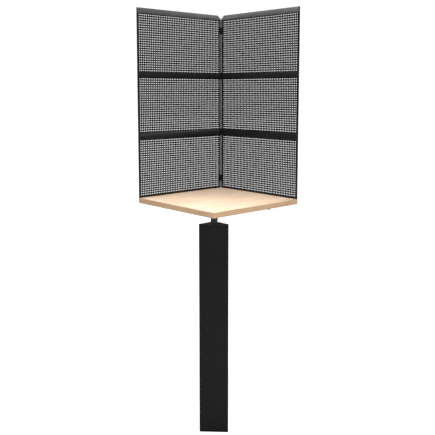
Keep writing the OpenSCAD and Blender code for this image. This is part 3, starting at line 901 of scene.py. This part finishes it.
def cone_screw(shank, head, height, length, key):
    """A pan-head screw, narrow at its free face, with a hex recess."""
    s, h, k = shank / 2, head / 2, key / 2
    return [
        (s * 0.25, -length, False),
        (s, -length + 1.2 * shank, False),
        (s, 0.0, False),
        (h * 0.97, 0.0, False),
        (h, height * 0.12, False),
        (h * 0.86, height * 0.65, False),
        (h * 0.62, height, False),
        (k, height, True),
        (k * 0.97, height * 0.4, True),
    ]


def blind_rivet(shank, head, height, length):
    """A blind rivet: a domed flange with the dimple that its snapped pin leaves."""
    s, h = shank / 2, head / 2
    return [
        (s * 0.8, -length, False),
        (s, -length + 0.3 * shank, False),
        (s, 0.0, False),
        (h * 0.98, 0.0, False),
        (h, height * 0.25, False),
        (h * 0.8, height * 0.75, False),
        (h * 0.5, height, False),
        (h * 0.3, height, False),
        (h * 0.26, height * 0.45, False),
    ]


def hex_nut(flats, height, bore):
    a, b = flats / 2, bore / 2
    return [
        (b, height * 0.1, False),
        (b * 1.12, 0.0, False),
        (a * 0.94, 0.0, False),
        (a, height * 0.12, True),
        (a, height * 0.88, True),
        (a * 0.94, height, False),
        (b * 1.12, height, False),
        (b, height * 0.9, False),
    ]


# %% [markdown]
# The places are read from the CAD nodes: each loose shape in a fastener node is one fastener.
# Its centre gives the axis, and its reach along the facing direction gives the top of its head.


# %% Reading the places
def loose_shapes(node):
    """The corner points of each separate shape in a CAD node."""
    work = welded(frame["nodes"][node])
    unseen = set(work.verts)
    shapes = []
    while unseen:
        shape, open_ends = [], [unseen.pop()]
        while open_ends:
            corner = open_ends.pop()
            shape.append(corner.co.copy())
            for edge in corner.link_edges:
                other = edge.other_vert(corner)
                if other in unseen:
                    unseen.remove(other)
                    open_ends.append(other)
        shapes.append(shape)
    work.free()
    return shapes


def inward(point):
    """The direction into the stand's open side, square to the wing that a point is on."""
    return Vector((-math.copysign(1, point.x), -1.0, 0.0)).normalized()


def returned(point):
    """The direction out of the column's return that a point is on."""
    return Vector((math.copysign(1, point.x), 1.0, 0.0)).normalized()


FACINGS = {
    "panel_screws": inward,
    "rail_screws": inward,
    "rail_nuts": lambda point: -inward(point),
    "corner_screws": lambda point: -inward(point),
    "wing_bolts": lambda point: Vector((0, 0, -1)),
    "shelf_screws": lambda point: Vector((0, 0, -1)),
    "foot_plate_bolts": lambda point: Vector((0, 0, -1)),
    "spine_bolts": lambda point: Vector((0, 0, 1)),
    "ballast_bolts": lambda point: Vector((0, 0, 1)),
    "column_rivets": returned,
}


def fastener_places(node, head_height):
    """Seat, facing direction and overall length of each fastener in a node."""
    places = []
    for shape in loose_shapes(node):
        centre = sum(shape, Vector()) / len(shape)
        facing = FACINGS[node](centre)
        reaches = [corner.dot(facing) for corner in shape]
        sideways = [corner - facing * corner.dot(facing) for corner in shape]
        low = Vector([min(p[axis] for p in sideways) for axis in range(3)])
        high = Vector([max(p[axis] for p in sideways) for axis in range(3)])
        seat = (low + high) / 2 + facing * (max(reaches) - head_height)
        places.append((seat, facing, max(reaches) - min(reaches)))
    return places


# %% The placing tree
place_tree, given = new_tree(
    "place_fasteners",
    {"Mould": "NodeSocketObject", "Seed": "NodeSocketInt", "Finish": "NodeSocketMaterial"},
)
facing = add(place_tree, "GeometryNodeInputNamedAttribute", {"data_type": "FLOAT_VECTOR"}, {"Name": "facing"})
upright = add(
    place_tree,
    "FunctionNodeAlignRotationToVector",
    {"axis": "Z"},
    {"Vector": facing.outputs["Attribute"]},
)
turns = add(
    place_tree, "FunctionNodeRandomValue", {"data_type": "FLOAT"}, {"Seed": given["Seed"], 2: 0.0, 3: math.tau}
)
spin = add(place_tree, "FunctionNodeAxisAngleToRotation", inputs={"Axis": (0, 0, 1), "Angle": turns.outputs[1]})
aimed = add(
    place_tree,
    "FunctionNodeRotateRotation",
    {"rotation_space": "LOCAL"},
    {0: upright.outputs[0], 1: spin.outputs[0]},
)
mould = add(place_tree, "GeometryNodeObjectInfo", inputs={"Object": given["Mould"]})
driven = add(
    place_tree,
    "GeometryNodeInstanceOnPoints",
    inputs={"Points": given["Geometry"], "Instance": mould.outputs["Geometry"], "Rotation": aimed.outputs[0]},
)
solid = add(place_tree, "GeometryNodeRealizeInstances", inputs={"Geometry": driven.outputs["Instances"]})
finished = add(
    place_tree, "GeometryNodeSetMaterial", inputs={"Geometry": solid.outputs["Geometry"], "Material": given["Finish"]}
)
add(place_tree, "NodeGroupOutput", inputs={"Geometry": finished.outputs["Geometry"]})
print("Placing tree:", len(place_tree.nodes), "nodes")


# %% Drive the fasteners
def drive(node, rings_for, head_height, material, seed, hollow=False):
    """Replaces a fastener node by its moulds. rings_for takes the length under the head."""
    places = fastener_places(node, head_height)
    length = places[0][2] - head_height
    mould_object = link_mesh(node + "_mould", turned(node + "_mould", rings_for(length), hollow=hollow))
    mesh = bpy.data.meshes.new(node + "_places")
    mesh.from_pydata([seat for seat, _, _ in places], [], [])
    directions = mesh.attributes.new("facing", "FLOAT_VECTOR", "POINT")
    directions.data.foreach_set("vector", [c for _, direction, _ in places for c in direction])
    obj = link_mesh(node + "_finished", mesh)
    run_tree(obj, place_tree, {"Mould": mould_object, "Seed": seed, "Finish": material})
    bpy.data.objects.remove(mould_object)
    print(node, len(places), "pieces,", round(length / MM, 1), "mm under the head")
    return finish_piece(obj, "stand", SLOT_OF[node], node)


HEAD, HEAD_H, SHANK = 5.5 * MM, 1.6 * MM, 3 * MM
BOLT, BOLT_FLATS, BOLT_HEAD = 8 * MM, 13 * MM, 5.3 * MM
RIVET_HEAD = 1.4 * MM
NUT_H = 2.4 * MM
SCREW_HEAD = 2.5 * MM
BALLAST_HEAD = 4 * MM
drive("panel_screws", lambda l: button_screw(SHANK, HEAD, HEAD_H, l, 2 * MM), HEAD_H, black_oxide, 1)
drive("rail_screws", lambda l: button_screw(SHANK, HEAD, HEAD_H, l, 2 * MM), HEAD_H, black_oxide, 2)
drive("corner_screws", lambda l: button_screw(SHANK, HEAD, HEAD_H, l, 2 * MM), HEAD_H, black_oxide, 3)
drive("rail_nuts", lambda l: hex_nut(5.5 * MM, NUT_H, SHANK), NUT_H, zinc_plate, 4, hollow=True)
drive("wing_bolts", lambda l: cone_screw(4 * MM, 9 * MM, SCREW_HEAD, l, 2.5 * MM), SCREW_HEAD, zinc_plate, 5)
drive("shelf_screws", lambda l: cone_screw(4.5 * MM, 9 * MM, SCREW_HEAD, l, 2.5 * MM), SCREW_HEAD, zinc_plate, 6)
drive("foot_plate_bolts", lambda l: hex_bolt(BOLT, BOLT_FLATS, BOLT_HEAD, l), BOLT_HEAD, zinc_plate, 7)
drive("spine_bolts", lambda l: hex_bolt(BOLT, BOLT_FLATS, BOLT_HEAD, l), BOLT_HEAD, zinc_plate, 8)
drive(
    "ballast_bolts", lambda l: button_screw(BOLT, 14 * MM, BALLAST_HEAD, l, 5 * MM), BALLAST_HEAD, zinc_plate, 9
)
drive("column_rivets", lambda l: blind_rivet(4 * MM, 8 * MM, RIVET_HEAD, l), RIVET_HEAD, black_oxide, 10)

# %% [markdown]
# ## Levelling glides
# A glide is a threaded stud with a hexagon near its foot, in a moulded pad. The thread is drawn
# as rings, since its slope is only three degrees. The pad has a rounded rim, so the stand slides.


# %% Glides
THREAD_PITCH = 1.5 * MM


def glide_stud(node):
    low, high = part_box(node)
    centre = (low + high) / 2
    flats = 14 * MM
    nut_top = low.z + 4 * MM
    rings = [(flats * 0.46, low.z, False), (flats / 2, low.z + 0.5 * MM, True)]
    rings += [(flats / 2, nut_top - 0.5 * MM, True), (flats * 0.46, nut_top, False)]
    turns = int((high.z - nut_top - 1.5 * MM) / THREAD_PITCH)
    for k in range(turns):
        root = nut_top + (k + 0.25) * THREAD_PITCH
        rings += [(4.3 * MM, root, False), (5.0 * MM, root + THREAD_PITCH / 2, False)]
    rings.append((4.0 * MM, high.z, False))
    mesh = turned(node + "_turned", rings)
    mesh.transform(Matrix.Translation((centre.x, centre.y, 0.0)))
    stud = link_mesh(node + "_finished", mesh, zinc_plate)
    return finish_piece(stud, frame["nodes"][node]["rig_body"], SLOT_OF[node], node)


def glide_pad(node):
    low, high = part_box(node)
    centre = (low + high) / 2
    radius = (high.x - low.x) / 2
    height = high.z - low.z
    edge = 2 * MM
    arc = [math.radians(a) for a in (0, 30, 60, 90)]
    rings = [(radius * 0.3, low.z, False)]
    rings += [(radius - edge + edge * math.sin(a), low.z + edge * (1 - math.cos(a)), False) for a in arc]
    neck = 8 * MM
    rings += [(radius, low.z + edge + 1 * MM, False), (radius - 0.8 * MM, low.z + edge + 2 * MM, False)]
    rings += [(neck + 1.5 * MM, low.z + height - 1.2 * MM, False), (neck, low.z + height, False)]
    mesh = turned(node + "_moulded", rings, sides=36)
    mesh.transform(Matrix.Translation((centre.x, centre.y, 0.0)))
    pad = link_mesh(node + "_finished", mesh, black_nylon)
    return finish_piece(pad, frame["nodes"][node]["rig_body"], SLOT_OF[node], node)


for end in ("front", "rear"):
    for side in SIDES:
        glide_stud(f"glide_stud_{end}_{side}")
        glide_pad(f"glide_pad_{end}_{side}")
print("Glides:", [n for n in frame["nodes"] if n.startswith("glide_pad")])

# %% [markdown]
# ## Floor, light and camera
# The stand is on a plain white floor in soft light. A floor big enough to reach the horizon takes
# the place of a backdrop, so the stand can be looked at from any side. The floor looks white to the
# camera, but sends back less light than white paint would, which keeps the column dark. Large soft lamps keep the
# shadows faint and give the coated steel long, soft highlights.

# %% Floor
work = bmesh.new()
bmesh.ops.create_grid(work, x_segments=8, y_segments=8, size=40.0)
floor_mesh = bpy.data.meshes.new("studio_floor")
work.to_mesh(floor_mesh)
work.free()
floor_paint, floor_tree, floor_shader = new_material("matt_pale_floor_paint", {"Roughness": 0.9, "Specular IOR Level": 0.1})
place = add(floor_tree, "ShaderNodeTexCoord").outputs["Object"]
dust = add(floor_tree, "ShaderNodeTexNoise", inputs={"Vector": place, "Scale": 6.0, "Detail": 2.0})
floor_tree.links.new(
    ramp(floor_tree, dust.outputs["Fac"], [(0.3, grey(0.42)), (0.7, grey(0.44))]), floor_shader.inputs["Base Color"]
)
seen = add(floor_tree, "ShaderNodeLightPath").outputs["Is Camera Ray"]
glow = add(
    floor_tree, "ShaderNodeMath", {"operation": "MULTIPLY"}, {0: seen, 1: 1.0}
).outputs[0]
floor_tree.links.new(glow, floor_shader.inputs["Emission Strength"])
floor_shader.inputs["Emission Color"].default_value = grey(1.0)
floor = link_mesh("floor", floor_mesh, floor_paint)

# %% Sky and lamps
world = bpy.data.worlds.new("white_studio")
bpy.context.scene.world = world
world.use_nodes = True
sky = world.node_tree
seen = add(sky, "ShaderNodeLightPath").outputs["Is Camera Ray"]
strength = add(
    sky, "ShaderNodeMapRange", inputs={"Value": seen, "To Min": 0.37, "To Max": 1.05}
).outputs["Result"]
backdrop = sky.nodes["Background"]
backdrop.inputs["Color"].default_value = grey(1.0)
sky.links.new(strength, backdrop.inputs["Strength"])


def softbox(name, place, target, width, height, watts):
    """A rectangular lamp that faces a target and can't be seen itself."""
    lamp = bpy.data.lights.new(name, "AREA")
    lamp.shape = "RECTANGLE"
    lamp.size, lamp.size_y = width, height
    lamp.energy = watts
    obj = bpy.data.objects.new(name, lamp)
    obj.location = place
    obj.rotation_euler = (Vector(target) - Vector(place)).to_track_quat("-Z", "Y").to_euler()
    obj.visible_camera = False
    bpy.context.scene.collection.objects.link(obj)
    return obj


softbox("overhead", (0.0, 0.0, 4.4), (0.0, 0.0, 1.0), 3.0, 3.0, 180)
softbox("pool", (0.2, -3.1, 2.3), (0.2, -2.7, 0.0), 1.6, 1.6, 60)

# %% Camera
CAMERA_TURN = math.radians(2.69)
CAMERA_PITCH = math.radians(6.96)
CAMERA_ABOVE_SHELF = 600 * MM
camera_data = bpy.data.cameras.new("camera")
camera_data.lens = 54.49
camera_data.shift_y = -0.105
camera = bpy.data.objects.new("camera", camera_data)
camera.location = (0.171, -3.669, shelf_top + CAMERA_ABOVE_SHELF)
camera.rotation_euler = (math.pi / 2 - CAMERA_PITCH, 0.0, CAMERA_TURN)
bpy.context.scene.collection.objects.link(camera)
bpy.context.scene.camera = camera
bpy.context.scene.view_settings.view_transform = "Standard"
